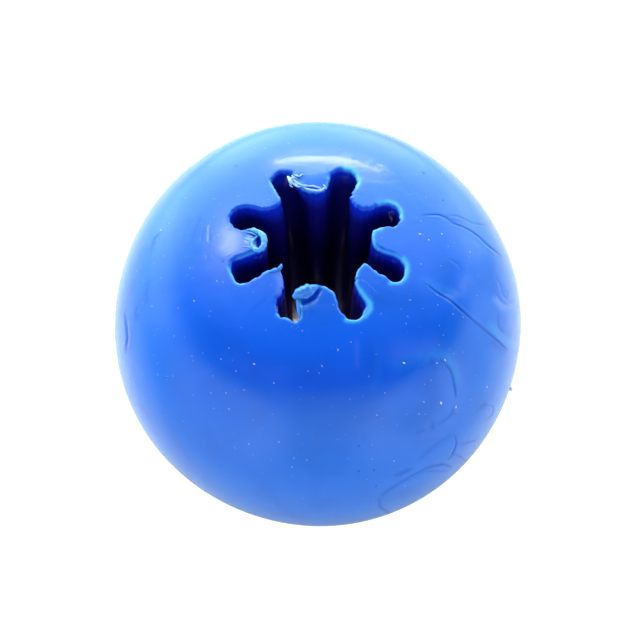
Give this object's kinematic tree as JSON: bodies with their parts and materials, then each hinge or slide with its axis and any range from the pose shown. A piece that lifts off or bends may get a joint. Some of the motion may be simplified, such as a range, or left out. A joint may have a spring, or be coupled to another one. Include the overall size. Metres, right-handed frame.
{
  "type": "treat dispensing ball",
  "caption": "Solid rubber ball with two flat lands and a straight star shaped bore right through it, whose teeth grip treats pushed in between them.",
  "frame": {"origin": "centre of the ball, half way along its bore", "axes": "+Z along the bore towards the mouth that the picture shows; a tooth stands on each of the X and Y axes"},
  "size_m": [0.076, 0.076, 0.0648],
  "materials": {
    "blue_rubber": "satin natural rubber, slightly translucent, with flow marks"
  },
  "bodies": {
    "root": {"ball_body": "blue_rubber"}
  },
  "joints": []
}
